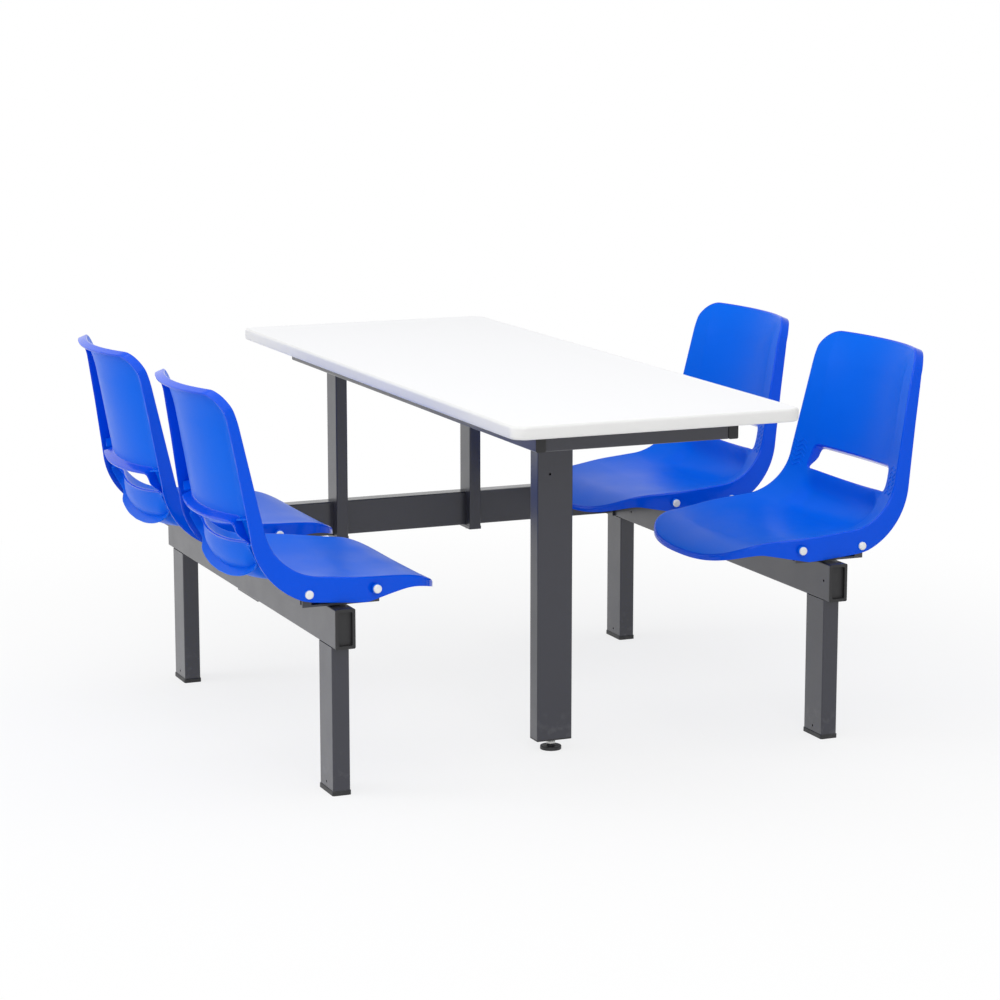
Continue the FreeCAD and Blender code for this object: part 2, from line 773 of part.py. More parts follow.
def half_width(d, inset):
    lip, pan, bend, back, total = profile_marks()[1:]
    if d < pan:
        half = blend(pan_front_half, pan_half, (d - lip * 0.4) / (pan * 0.62 - lip * 0.4))
    elif d < bend:
        half = blend(pan_half, waist_half, (d - pan) / (bend - pan))
    else:
        half = waist_half + (top_half - waist_half) * (d - bend) / (total - bend)
    half -= corner_loss(d, lip_corner_along, lip_corner_across, inset)
    half -= corner_loss(total - d, top_corner_along, top_corner_across, inset)
    return half - inset


def dish_depth(d):
    # depth of the middle of the seating face below the line between the rims
    lip, pan, bend, back, total = profile_marks()[1:]
    steps = [(0.0, lip_dish), (lip, front_dish), (lip + pan_dish_run, pan_dish), (pan, rear_dish),
             (pan + bend_dish_run, bend_dish), (bend, waist_dish), (back, back_dish), (total, top_dish)]
    for (d0, h0), (d1, h1) in zip(steps[:-1], steps[1:]):
        if d <= d1:
            return h0 + (h1 - h0) * (d - d0) / (d1 - d0)
    return top_dish


def face_height(d, v, half):
    # height of the seating face: a bowl on the pan, an arched panel between two wings on the back
    lip, pan, bend, back, total = profile_marks()[1:]
    dish = dish_depth(d)
    bowl = -dish * (1 - min(abs(v) / half, 1.0) ** bowl_power)
    crease = min(panel_half_width, half * 0.8)
    share = min(max((d - bend) / (back - bend), 0.0), 1.0)
    rise = min(wing_rise_low + (wing_rise_high - wing_rise_low) * share, dish)
    wing = -rise * (1 - max(abs(v) - crease, 0.0) / (half - crease))
    panel = wing - (dish - rise) * max(1 - (v / crease) ** 2, 0.0)
    return blend(bowl, panel, (d - pan * 0.8) / (bend - pan * 0.8))


def skirt_depth(d):
    lip, pan, bend, back, total = profile_marks()[1:]
    if d < lip:
        return blend(lip_skirt, front_skirt, d / lip)
    if d < pan:
        return blend(front_skirt, pan_skirt, (d - lip) / (pan - lip) * 1.6)
    if d < bend:
        return blend(pan_skirt, waist_skirt, (d - pan) / (bend - pan))
    return blend(waist_skirt, top_skirt, (d - bend) / (back - bend) * 1.4)


def skirt_flare(d):
    # how far the lower edge of the skirt stands out past the rim
    lip, pan, bend, back, total = profile_marks()[1:]
    return blend(pan_flare, back_flare, (d - pan) / (bend - pan)) * depth_share(d)


def depth_share(d):
    # the flare fades out toward both ends with the rounded corners
    total = profile_marks()[-1]
    return min(1.0, d / lip_corner_along, (total - d) / top_corner_along)


def section_points(d, inset, extra):
    # the seating face with its side walls, and the line that closes the section on the underside
    base, normal = profile_frame(d)
    half = half_width(d, inset)
    depth = skirt_depth(d)
    flare = skirt_flare(d)
    r = max(rim_radius - inset * 0.75, 1.0)
    across = []
    under = []
    for i in range(face_steps + 1):
        v = (half - r) * i / face_steps
        height = face_height(d, v, half - r)
        across.append((v, height - inset))
        under.append((v, height - depth - extra))
    mid = math.radians(45)
    across.append((half - r + r * math.sin(mid), -inset - r + r * math.cos(mid)))
    bottom = -depth - extra
    side = -inset - r
    for f in (0.0, 0.35, 0.7, 1.0):
        n = side + (bottom - side) * f
        across.append((half + flare * (side - n) / (side + depth), n))
    under[-1] = across[-1]
    lines = []
    for line in (across, under):
        full = [(-v, n) for v, n in reversed(line[1:])] + line
        lines.append([base + V(0, v, 0) + normal * n for v, n in full])
    return lines


def station_list(inset):
    lip, pan, bend, back, total = profile_marks()[1:]
    ends = []
    for turn in (4, 22, 42, 64):
        ends.append(lip_corner_along * (1 - math.cos(math.radians(turn))))
    start = lip_corner_along * 1.4
    stop = total - top_corner_along * 1.6
    count = int((stop - start) / section_spacing)
    marks = [lip_corner_along] + [start + (stop - start) * i / count for i in range(count + 1)]
    tops = []
    for turn in (72, 48, 34, 20, 8):
        tops.append(total - top_corner_along * (1 - math.cos(math.radians(turn))))
    marks = ends + marks + tops
    first = marks[0]
    last = marks[-1]
    scale = (last - first - 2 * inset) / (last - first)
    return [first + inset + (m - first) * scale for m in marks]


def hull(inset, extra):
    # closed body bounded by the seating face, the side walls and the open underside
    wires = []
    for d in station_list(inset):
        edges = []
        for points in section_points(d, inset, extra):
            last = len(points) - 1
            curve = Part.BSplineCurve()
            curve.interpolate(Points=points, Parameters=[i / last for i in range(last + 1)])
            edges.append(curve.toShape())
        wires.append(Part.Wire(edges))
    return Part.makeLoft(wires, True, False)


def slot_prism(margin, front, rear):
    # the lumbar slot as a block that runs down toward the rear
    lip, pan, bend, back, total = profile_marks()[1:]
    base, normal = profile_frame(bend)
    along = V(0, 1, 0).cross(normal) * -1
    if along.z < 0:
        along = along * -1
    draw_angle = math.radians(back_angle - slot_tilt)
    draw = V(math.sin(draw_angle), 0, math.cos(draw_angle))
    centre = base + along * slot_centre_along
    h = slot_height / 2 + margin
    corners = [(-slot_half_low - margin, -h), (slot_half_low + margin, -h),
               (slot_half_high + margin, h), (-slot_half_high - margin, h)]
    points = [centre + V(0, v, 0) + along * a - draw * rear for v, a in corners]
    solid = Part.Face(Part.makePolygon(points + points[:1])).extrude(draw * (rear + front))
    return solid.makeFillet(slot_corner_radius + margin, edges_along(solid, draw))


def seat_shell():
    outer = hull(0.0, 0.0)
    inner = hull(shell_wall, skin_overrun)
    shell = outer.cut(inner)
    collar = slot_prism(shell_wall, slot_front_reach, slot_rear_reach).common(hull(0.0, slot_lip - waist_skirt))
    shell = shell.fuse(collar)
    for u, sv in seat_bolt_places():
        start = V(u, sv * bracket_half, seat_bolt_height)
        shell = shell.fuse(rod_along(boss_diameter, start, V(0, sv, 0), boss_face - bracket_half))
    shell = shell.cut(slot_prism(0.0, slot_front_reach + shell_wall, slot_rear_reach + shell_wall))
    for u, sv in seat_bolt_places():
        start = V(u, sv * (bracket_half - skin_overrun), seat_bolt_height)
        shell = shell.cut(rod_along(seat_bolt_diameter + 2 * run_gap, start, V(0, sv, 0),
                                    boss_face - bracket_half + 2 * skin_overrun))
    return shell


def seats():
    shell = seat_shell()
    bracket = seat_bracket()
    bush = pivot_bush()
    screws, caps = seat_fixings()
    for side, x, y in swivel_places():
        bench = "left" if side < 0 else "right"
        place = "near" if y < seat_centre_y else "far"
        tag = "_" + place + "_" + bench
        turn = FreeCAD.Placement(V(x, y, 0), FreeCAD.Rotation(up, 0 if side < 0 else 180))
        for name, shapes in (("seat_shell", [shell]), ("seat_bracket", [bracket]), ("pivot_bush", [bush]),
                             ("seat_screws", screws), ("white_caps", caps)):
            moved = []
            for shape in shapes:
                copy = shape.copy()
                copy.Placement = turn.multiply(copy.Placement)
                moved.append(copy)
            save(name + tag, moved)


table_top()
underframe()
front_leg()
levelling_foot()
benches()
cross_beam()
uprights()
swivel_hardware()
seats()

for name, shape in nodes.items():
    shape.exportStep("parts/" + name + ".step")
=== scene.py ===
import bpy
import math
import numpy as np
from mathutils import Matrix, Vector


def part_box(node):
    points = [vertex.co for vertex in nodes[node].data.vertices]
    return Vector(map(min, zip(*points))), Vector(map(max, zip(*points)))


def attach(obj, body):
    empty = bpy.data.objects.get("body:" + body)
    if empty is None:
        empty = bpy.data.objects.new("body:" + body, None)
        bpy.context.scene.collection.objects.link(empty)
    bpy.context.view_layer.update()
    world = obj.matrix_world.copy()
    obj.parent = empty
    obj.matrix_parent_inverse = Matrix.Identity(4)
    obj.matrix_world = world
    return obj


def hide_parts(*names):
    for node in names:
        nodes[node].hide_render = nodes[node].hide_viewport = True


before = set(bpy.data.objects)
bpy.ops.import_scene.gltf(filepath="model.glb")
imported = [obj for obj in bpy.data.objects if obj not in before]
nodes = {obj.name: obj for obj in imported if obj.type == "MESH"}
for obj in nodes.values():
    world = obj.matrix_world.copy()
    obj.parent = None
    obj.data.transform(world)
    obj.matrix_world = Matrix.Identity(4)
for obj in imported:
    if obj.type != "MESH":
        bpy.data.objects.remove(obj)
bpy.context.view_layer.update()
print("frame loaded:", len(nodes), "nodes")


# mesh helpers

def makeMesh(name, points, faces, material, smooth=True, faceMaterials=None):
    # points is an array of corners, faces an array or list of corner numbers
    mesh = bpy.data.meshes.new(name)
    mesh.from_pydata(np.asarray(points, float).tolist(), [], [list(map(int, f)) for f in faces])
    mesh.validate()
    if smooth:
        mesh.polygons.foreach_set("use_smooth", [True] * len(mesh.polygons))
    obj = bpy.data.objects.new(name, mesh)
    bpy.context.scene.collection.objects.link(obj)
    for m in (material if isinstance(material, list) else [material]):
        mesh.materials.append(m)
    if faceMaterials is not None:
        mesh.polygons.foreach_set("material_index", np.asarray(faceMaterials, np.int32))
    return obj


def gridFaces(rows, cols, closeCols=False):
    # quads of a rows x cols grid of points numbered row by row
    i = np.arange(rows - 1)[:, None]
    j = np.arange(cols if closeCols else cols - 1)[None, :]
    a = i * cols + j
    b = i * cols + (j + 1) % cols
    return np.stack([a, b, b + cols, a + cols], -1).reshape(-1, 4)


def tubeFaces(rows, cols):
    # quads of a tube, one ring of points per row, with a flat face at each end
    ends = [list(range(cols))[::-1], list(range((rows - 1) * cols, rows * cols))]
    return gridFaces(rows, cols, closeCols=True).tolist() + ends


def joinParts(parts):
    # puts several (points, faces) into one list of points and faces
    points, faces, shift = [], [], 0
    for p, f in parts:
        p = np.asarray(p, float).reshape(-1, 3)
        points.append(p)
        faces.extend((np.asarray(q) + shift).tolist() for q in f)
        shift += len(p)
    return np.concatenate(points), faces


def unit(a):
    return a / np.maximum(np.linalg.norm(a, axis=-1, keepdims=True), 1e-12)


def smoothStep(t):
    # from 0 to 1 with level ends
    t = np.clip(t, 0.0, 1.0)
    return t * t * (3 - 2 * t)


def resample(path, count):
    # evenly spaced points along a polyline, ends kept
    path = np.asarray(path, float)
    step = np.linalg.norm(np.diff(path, axis=0), axis=1)
    s = np.concatenate([[0], np.cumsum(step)])
    t = np.linspace(0, s[-1], count)
    return np.stack([np.interp(t, s, path[:, k]) for k in range(path.shape[1])], -1)


def addModifier(obj, kind, **values):
    mod = obj.modifiers.new(kind.title(), kind)
    for key, value in values.items():
        setattr(mod, key, value)
    return mod


def lathe(profile, centre, axis, sides):
    # a profile of (distance along the axis, radius) turned round a level axis; first and last radius 0
    # close it
    profile = np.asarray(profile, float)
    axis = unit(np.asarray(axis, float))
    side = unit(np.cross(axis, [0.0, 0.3, 1.0]))
    other = np.cross(axis, side)
    a = np.linspace(0, 2 * math.pi, sides, endpoint=False)
    ring = np.cos(a)[:, None] * side + np.sin(a)[:, None] * other
    inner = profile[1:-1]
    pts = (np.asarray(centre) + inner[:, 0][:, None, None] * axis + inner[:, 1][:, None, None] * ring[None])
    pts = pts.reshape(-1, 3)
    faces = gridFaces(len(inner), sides, closeCols=True).tolist()
    start, end = len(pts), len(pts) + 1
    pts = np.concatenate([pts, [np.asarray(centre) + profile[0, 0] * axis],
                          [np.asarray(centre) + profile[-1, 0] * axis]])
    last = (len(inner) - 1) * sides
    for k in range(sides):
        n = (k + 1) % sides
        faces.append([start, n, k])
        faces.append([end, last + k, last + n])
    return pts, faces


# shader helpers

def link(tree, a, b):
    tree.links.new(a, b)


def newGroup(name, inputs, outputs):
    group = bpy.data.node_groups.new(name, "ShaderNodeTree")
    for label, kind, value in inputs:
        socket = group.interface.new_socket(label, in_out="INPUT", socket_type=kind)
        if value is not None:
            socket.default_value = value
    for label, kind in outputs:
        group.interface.new_socket(label, in_out="OUTPUT", socket_type=kind)
    return group, group.nodes.new("NodeGroupInput"), group.nodes.new("NodeGroupOutput")


def addNode(tree, kind, **values):
    node = tree.nodes.new(kind)
    for key, value in values.items():
        setattr(node, key, value)
    return node


def makeGrainGroup():
    # fine moulded or sprayed grain: two noises at set sizes give a height, a tone and a mask
    group, gin, gout = newGroup("surfaceGrain", [("Vector", "NodeSocketVector", None),
                                                ("Fine Scale", "NodeSocketFloat", 900.0),
                                                ("Broad Scale", "NodeSocketFloat", 9.0),
                                                ("Broad Share", "NodeSocketFloat", 0.3)],
                                [("Height", "NodeSocketFloat"), ("Tone", "NodeSocketFloat"),
                                 ("Broad", "NodeSocketFloat")])
    fine = addNode(group, "ShaderNodeTexNoise")
    fine.inputs["Detail"].default_value = 2.0
    broad = addNode(group, "ShaderNodeTexNoise")
    broad.inputs["Detail"].default_value = 4.0
    link(group, gin.outputs["Vector"], fine.inputs["Vector"])
    link(group, gin.outputs["Vector"], broad.inputs["Vector"])
    link(group, gin.outputs["Fine Scale"], fine.inputs["Scale"])
    link(group, gin.outputs["Broad Scale"], broad.inputs["Scale"])
    mix = addNode(group, "ShaderNodeMix")
    link(group, gin.outputs["Broad Share"], mix.inputs[0])
    link(group, fine.outputs["Fac"], mix.inputs[2])
    link(group, broad.outputs["Fac"], mix.inputs[3])
    link(group, fine.outputs["Fac"], gout.inputs["Height"])
    link(group, mix.outputs[0], gout.inputs["Tone"])
    link(group, broad.outputs["Fac"], gout.inputs["Broad"])
    return group


wearNoise = {"scale": 60.0, "detail": 6.0, "from": 0.52, "to": 0.72}
roughnessTone = (0.3, 0.7)


def makeWearGroup():
    # low scuffs near the floor: a noise cut off by height above the floor gives a mask
    group, gin, gout = newGroup("floorScuff", [("Vector", "NodeSocketVector", None),
                                              ("Reach", "NodeSocketFloat", 0.12),
                                              ("Amount", "NodeSocketFloat", 0.5)],
                                [("Mask", "NodeSocketFloat")])
    split = addNode(group, "ShaderNodeSeparateXYZ")
    link(group, gin.outputs["Vector"], split.inputs[0])
    near = addNode(group, "ShaderNodeMath", operation="DIVIDE")
    link(group, split.outputs["Z"], near.inputs[0])
    link(group, gin.outputs["Reach"], near.inputs[1])
    low = addNode(group, "ShaderNodeMath", operation="SUBTRACT", use_clamp=True)
    low.inputs[0].default_value = 1.0
    link(group, near.outputs[0], low.inputs[1])
    noise = addNode(group, "ShaderNodeTexNoise")
    noise.inputs["Scale"].default_value = wearNoise["scale"]
    noise.inputs["Detail"].default_value = wearNoise["detail"]
    link(group, gin.outputs["Vector"], noise.inputs["Vector"])
    cut = addNode(group, "ShaderNodeMapRange")
    cut.inputs["From Min"].default_value = wearNoise["from"]
    cut.inputs["From Max"].default_value = wearNoise["to"]
    link(group, noise.outputs["Fac"], cut.inputs["Value"])
    both = addNode(group, "ShaderNodeMath", operation="MULTIPLY")
    link(group, low.outputs[0], both.inputs[0])
    link(group, cut.outputs[0], both.inputs[1])
    scaled = addNode(group, "ShaderNodeMath", operation="MULTIPLY", use_clamp=True)
    link(group, both.outputs[0], scaled.inputs[0])
    link(group, gin.outputs["Amount"], scaled.inputs[1])
    link(group, scaled.outputs[0], gout.inputs["Mask"])
    return group


grainGroup = makeGrainGroup()
wearGroup = makeWearGroup()


def grainMaterial(name, look):
    # one finish: tone range, roughness range and a bump of the grain, scuffed near the floor if asked
    material = bpy.data.materials.new(name)
    material.use_nodes = True
    tree = material.node_tree
    shader = tree.nodes["Principled BSDF"]
    coords = addNode(tree, "ShaderNodeTexCoord")
    grain = addNode(tree, "ShaderNodeGroup", node_tree=grainGroup)
    grain.inputs["Fine Scale"].default_value = look["fineScale"]
    grain.inputs["Broad Scale"].default_value = look["broadScale"]
    grain.inputs["Broad Share"].default_value = look.get("broadShare", 0.4)
    link(tree, coords.outputs["Object"], grain.inputs["Vector"])
    tone = addNode(tree, "ShaderNodeMix", data_type="RGBA")
    tone.inputs[6].default_value = (*look["dark"], 1)
    tone.inputs[7].default_value = (*look["light"], 1)
    link(tree, grain.outputs["Tone"], tone.inputs[0])
    colour = tone.outputs[2]
    rough = addNode(tree, "ShaderNodeMapRange")
    rough.inputs["From Min"].default_value = roughnessTone[0]
    rough.inputs["From Max"].default_value = roughnessTone[1]
    rough.inputs["To Min"].default_value = look["roughness"][0]
    rough.inputs["To Max"].default_value = look["roughness"][1]
    link(tree, grain.outputs["Broad"], rough.inputs["Value"])
    if look.get("scuff"):
        wear = addNode(tree, "ShaderNodeGroup", node_tree=wearGroup)
        wear.inputs["Reach"].default_value = look["scuff"][0]
        wear.inputs["Amount"].default_value = look["scuff"][1]
        link(tree, coords.outputs["Object"], wear.inputs["Vector"])
        worn = addNode(tree, "ShaderNodeMix", data_type="RGBA")
        worn.inputs[7].default_value = (*look["scuffColour"], 1)
        link(tree, wear.outputs["Mask"], worn.inputs[0])
        link(tree, colour, worn.inputs[6])
        colour = worn.outputs[2]
    link(tree, colour, shader.inputs["Base Color"])
    link(tree, rough.outputs[0], shader.inputs["Roughness"])
    bump = addNode(tree, "ShaderNodeBump")
    bump.inputs["Strength"].default_value = look["bump"]
    bump.inputs["Distance"].default_value = look["bumpDepth"]
    link(tree, grain.outputs["Height"], bump.inputs["Height"])
    link(tree, bump.outputs[0], shader.inputs["Normal"])
    shader.inputs["IOR"].default_value = 1.5
    shader.inputs["Metallic"].default_value = look.get("metallic", 0.0)
    shader.inputs["Specular IOR Level"].default_value = look.get("specular", 0.5)
    shader.inputs["Coat Weight"].default_value = look.get("coat", 0.0)
    shader.inputs["Coat Roughness"].default_value = look.get("coatRoughness", 0.1)
    return material


finishes = {
    "laminate": {"dark": (0.86, 0.86, 0.87), "light": (0.90, 0.90, 0.905), "fineScale": 1400.0,
                 "broadScale": 5.0, "roughness": (0.34, 0.42), "bump": 0.10, "bumpDepth": 0.0002},
    "edgeBand": {"dark": (0.77, 0.765, 0.75), "light": (0.81, 0.805, 0.79), "fineScale": 900.0,
                 "broadScale": 12.0, "roughness": (0.36, 0.46), "bump": 0.10, "bumpDepth": 0.0002},
    "boardUnder": {"dark": (0.66, 0.66, 0.66), "light": (0.74, 0.74, 0.73), "fineScale": 500.0,
                   "broadScale": 8.0, "roughness": (0.5, 0.6), "bump": 0.15, "bumpDepth": 0.0003},
    "coatedSteel": {"dark": (0.014, 0.0145, 0.025), "light": (0.022, 0.023, 0.036), "fineScale": 1500.0,
                    "broadScale": 14.0, "roughness": (0.30, 0.38), "bump": 0.16, "bumpDepth": 0.0003,
                    "coat": 0.5, "coatRoughness": 0.22,
                    "scuff": (0.10, 0.5), "scuffColour": (0.10, 0.10, 0.11)},
    "blackPlastic": {"dark": (0.010, 0.010, 0.011), "light": (0.020, 0.020, 0.022), "fineScale": 1100.0,
                     "broadScale": 30.0, "roughness": (0.42, 0.55), "bump": 0.2, "bumpDepth": 0.0003,
                     "scuff": (0.012, 0.7), "scuffColour": (0.09, 0.09, 0.09)},
    "zincSteel": {"dark": (0.48, 0.48, 0.47), "light": (0.66, 0.66, 0.64), "fineScale": 800.0,
                  "broadScale": 90.0, "roughness": (0.28, 0.42), "bump": 0.12, "bumpDepth": 0.0002,
                  "metallic": 1.0},
    "nylon": {"dark": (0.66, 0.65, 0.60), "light": (0.74, 0.73, 0.68), "fineScale": 900.0, "broadScale": 60.0,
              "roughness": (0.4, 0.5), "bump": 0.1, "bumpDepth": 0.0002},
    "blueShell": {"dark": (0.0001, 0.122, 0.74), "light": (0.0001, 0.142, 0.84), "fineScale": 620.0,
                  "broadScale": 10.0, "broadShare": 0.35, "roughness": (0.30, 0.38), "bump": 0.30,
                  "bumpDepth": 0.0004, "specular": 0.05},
    # glossier finish of the slot lips, rolled rim and skirt; its base blue is darker than the panel's,
    # painted shade on these turned-away faces of the same plastic
    "blueGloss": {"dark": (0.0001, 0.076, 0.70), "light": (0.0001, 0.092, 0.80), "fineScale": 300.0,
                  "broadScale": 8.0, "roughness": (0.12, 0.18), "bump": 0.04, "bumpDepth": 0.0003,
                  "specular": 0.14},
    "capWhite": {"dark": (0.80, 0.80, 0.80), "light": (0.86, 0.86, 0.86), "fineScale": 900.0,
                 "broadScale": 80.0, "roughness": (0.22, 0.3), "bump": 0.05, "bumpDepth": 0.0002},
}
materials = {name: grainMaterial(name, look) for name, look in finishes.items()}
print("finishes:", len(materials))


# seat shell: a front surface over (distance along the profile, distance across), with rolled rims

seatForm = {
    # the profile along the seat: lip arc, pan, bend, back and top arc
    "lipReach": 0.2325, "panHeight": 0.411, "lipRadius": 0.147, "lipAngle": 42.0, "panAngle": 5.2,
    "panLength": 0.193, "bendRadius": 0.113, "backAngle": 78.4, "backLength": 0.197, "topRadius": 0.283,
    "topAngle": 60.0,
    # widths and the rim's corners
    "frontHalf": 0.2005, "panHalf": 0.2265, "waistHalf": 0.2180, "topHalf": 0.1915, "widenFrom": 0.09,
    "widenRun": 0.13, "lipCorner": 0.100, "lipPower": 2.45, "lipCornerStep": 34, "topCorner": 0.050,
    "topCrown": 0.022, "crownHalf": 0.2, "crownRun": 0.08,
    # the hollow of pan and back
    "dish": (0.001, 0.007, 0.012, 0.025, 0.043, 0.042, 0.041, 0.0355), "panDishRun": 0.09,
    "bendDishRun": 0.07, "bowlPower": 2.6, "backFrom": 0.80, "wingPower": 1.08, "wingRise": (0.019, 0.010),
    "wingDish": (0.010, 0.020), "panelHalf": 0.156, "panelSpread": 0.012, "spreadRun": 0.06,
    # the ledge and pocket under the slot
    "pocketDepth": 0.012, "pocketLead": 0.015, "pocketRun": 0.05, "pocketLap": 0.035, "ledgeRise": 0.007,
    "ledgeRun": 0.040, "ledgeHold": 0.012, "stepHalf": 0.122, "stepFade": 0.040,
    # the rolled rim and the skirt
    "rimRadius": 0.0045, "lipRim": 0.0052, "lipRun": 0.16, "lipLean": 0.75,
    "skirt": (0.0075, 0.024, 0.049, 0.050, 0.041, 0.031, 0.025, 0.019),
    "skirtRuns": (0.09, 0.02, 0.08, 0.12),
    "flare": 0.002, "edgeFlare": 0.001, "flareLeast": 0.3, "leastDrop": 0.001, "wall": 0.0036,
    "bevel": 0.0009,
    "rowCount": 132, "colCount": 84,
}
slotForm = {"along": 0.001, "height": 0.054, "halfLow": 0.166, "halfHigh": 0.157, "corner": 0.016,
            "edge": 0.0035, "lowDepth": 0.006, "depth": 0.023, "tilt": 0.34, "margin": 0.011, "rings": 4,
            "lipEase": 1.5}


def profilePieces():
    # (length, start heading, end heading) of lip arc, pan, bend arc, back and top arc
    f = seatForm
    lip, pan, back, top = f["lipAngle"], f["panAngle"], f["backAngle"], f["topAngle"]
    turns = [(lip, pan, f["lipRadius"]), (pan, pan, f["panLength"]), (pan, back, f["bendRadius"]),
             (back, back, f["backLength"]), (back, top, f["topRadius"])]
    return [(size if a == b else size * math.radians(abs(b - a)), math.radians(a), math.radians(b))
            for a, b, size in turns]


marks = np.concatenate([[0.0], np.cumsum([p[0] for p in profilePieces()])])
panStart, panEnd, bendEnd, topStart, profileEnd = marks[1:]


def profilePath(d):
    # arcs and straights end to end: position (forward, up) and the normal toward the sitter
    f = seatForm
    d = np.asarray(d, float)
    rise = f["lipRadius"] * (math.cos(math.radians(f["panAngle"])) - math.cos(math.radians(f["lipAngle"])))
    u = np.full_like(d, f["lipReach"])
    z = np.full_like(d, f["panHeight"] - rise)
    heading = np.full_like(d, math.radians(f["lipAngle"]))
    for start, (length, a0, a1) in zip(marks[:-1], profilePieces()):
        run = np.clip(d - start, 0.0, length)
        if abs(a1 - a0) < 1e-9:
            u, z = u - run * math.cos(a0), z + run * math.sin(a0)
            a = np.full_like(d, a0)
        else:
            k = (a1 - a0) / length
            a = a0 + k * run
            u, z = u - (np.sin(a) - math.sin(a0)) / k, z + (math.cos(a0) - np.cos(a)) / k
        heading = np.where(d > start, a, heading)
    return u, z, np.sin(heading), np.cos(heading)


def halfWidth(d):
    # half the width between the rims, without the rounded corners
    f = seatForm
    widen = smoothStep((d - f["widenFrom"]) / f["widenRun"])
    front = f["frontHalf"] + (f["panHalf"] - f["frontHalf"]) * widen
    bend = f["panHalf"] + (f["waistHalf"] - f["panHalf"]) * smoothStep((d - panEnd) / (bendEnd - panEnd))
    back = f["waistHalf"] + (f["topHalf"] - f["waistHalf"]) * (d - bendEnd) / (profileEnd - bendEnd)
    return np.where(d < panEnd, front, np.where(d < bendEnd, bend, back))


def seatHeight(d, v):
    # depth below the rim line: a bowl on the pan, an arched panel between steeper wings on the back, and a
    # step under the slot, where a low ledge stands over a pocket
    f = seatForm
    half = halfWidth(d)
    share = np.clip(np.abs(v) / half, 0, 1)
    backFrom = panEnd * f["backFrom"]
    onBack = smoothStep((d - backFrom) / (bendEnd - backFrom))
    depth = np.interp(d, [0, panStart, panStart + f["panDishRun"], panEnd, panEnd + f["bendDishRun"], bendEnd,
                          topStart, profileEnd], f["dish"])
    bowl = -depth * (1 - share ** f["bowlPower"])
    crease = f["panelHalf"] - f["panelSpread"] * (1 - smoothStep((d - bendEnd) / f["spreadRun"] + 0.5))
    lift = smoothStep((depth - f["wingDish"][0]) / f["wingDish"][1])
    rise = np.interp(d, [bendEnd, topStart], f["wingRise"]) * lift
    wing = -rise * (1 - np.clip((np.abs(v) - crease) / (half - crease), 0, 1) ** f["wingPower"])
    panel = wing - (depth - rise) * (1 - np.clip(np.abs(v) / crease, 0, 1) ** 2)
    low = slotCentre - slotForm["height"] / 2
    run = f["ledgeRun"]
    pocket = smoothStep((d - panEnd - f["pocketLead"]) / f["pocketRun"])
    pocket = pocket * (1 - smoothStep((d - low + f["pocketLap"]) / run))
    ledge = smoothStep((d - low + run) / run) * (1 - smoothStep((d - low - f["ledgeHold"]) / run))
    step = f["ledgeRise"] * ledge - f["pocketDepth"] * pocket
    step = step * (1 - smoothStep((np.abs(v) - f["stepHalf"]) / f["stepFade"]))
    return bowl * (1 - onBack) + panel * onBack + step


slotCentre = bendEnd + slotForm["along"]


def seatPoint(d, v):
    # a point of the front surface, d along the profile and v across
    u, z, nu, nz = profilePath(d)
    h = seatHeight(d, v)
    return np.stack([u + nu * h, v, z + nz * h], -1)


def seatNormal(d, v):
    # the surface's normal toward the sitter, from small steps either way
    e = 0.0008
    along = seatPoint(d + e, v) - seatPoint(d - e, v)
    across = seatPoint(d, v + e) - seatPoint(d, v - e)
    return unit(np.cross(across, along))


def rimCurve():
    # half the rim, from the middle of the front lip round the side to the middle of the top edge, with the
    # steps along it where the grid's front and back corners lie
    f = seatForm
    a = np.linspace(0, math.pi / 2, 60)
    lipHalf = halfWidth(np.array(f["lipCorner"]))
    lip = np.stack([f["lipCorner"] * (1 - np.cos(a) ** (2 / f["lipPower"])),
                    lipHalf * np.sin(a) ** (2 / f["lipPower"])], -1)
    d = np.linspace(f["lipCorner"], profileEnd - f["topCorner"], 200)[1:]
    side = np.stack([d, halfWidth(d)], -1)
    r = f["topCorner"]
    top = np.stack([profileEnd - r + r * np.sin(a[1:]), side[-1, 1] - r + r * np.cos(a[1:])], -1)
    v = np.linspace(top[-1, 1], 0, 60)[1:]
    edge = np.stack([np.full_like(v, profileEnd), v], -1)
    curve = np.concatenate([lip, side, top, edge])
    bow = (curve[:, 1] / f["crownHalf"]) ** 2 * smoothStep((curve[:, 0] - topStart) / f["crownRun"])
    curve[:, 0] -= f["topCrown"] * bow
    return curve, f["lipCornerStep"], len(lip) + len(side) + len(top) // 2


def seatGrid():
    # the rim's four sides blended inward (a Coons patch) give the (along, across) of each grid point
    f = seatForm
    curve, a, b = rimCurve()
    half = f["colCount"] // 2
    lip = resample(curve[:a + 1], half + 1)
    side = resample(curve[a:b + 1], f["rowCount"] + 1)
    top = resample(curve[b:], half + 1)[::-1]
    mirror = np.array([1.0, -1.0])
    front = np.concatenate([lip[::-1] * mirror, lip[1:]])
    back = np.concatenate([top[::-1] * mirror, top[1:]])
    s = np.linspace(0, 1, f["rowCount"] + 1)[:, None, None]
    t = np.linspace(0, 1, f["colCount"] + 1)[None, :, None]
    left, right = side * mirror, side
    frontPart = front[None] - (1 - t) * front[0] - t * front[-1]
    backPart = back[None] - (1 - t) * back[0] - t * back[-1]
    return (1 - s) * frontPart + s * backPart + (1 - t) * left[:, None] + t * right[:, None]


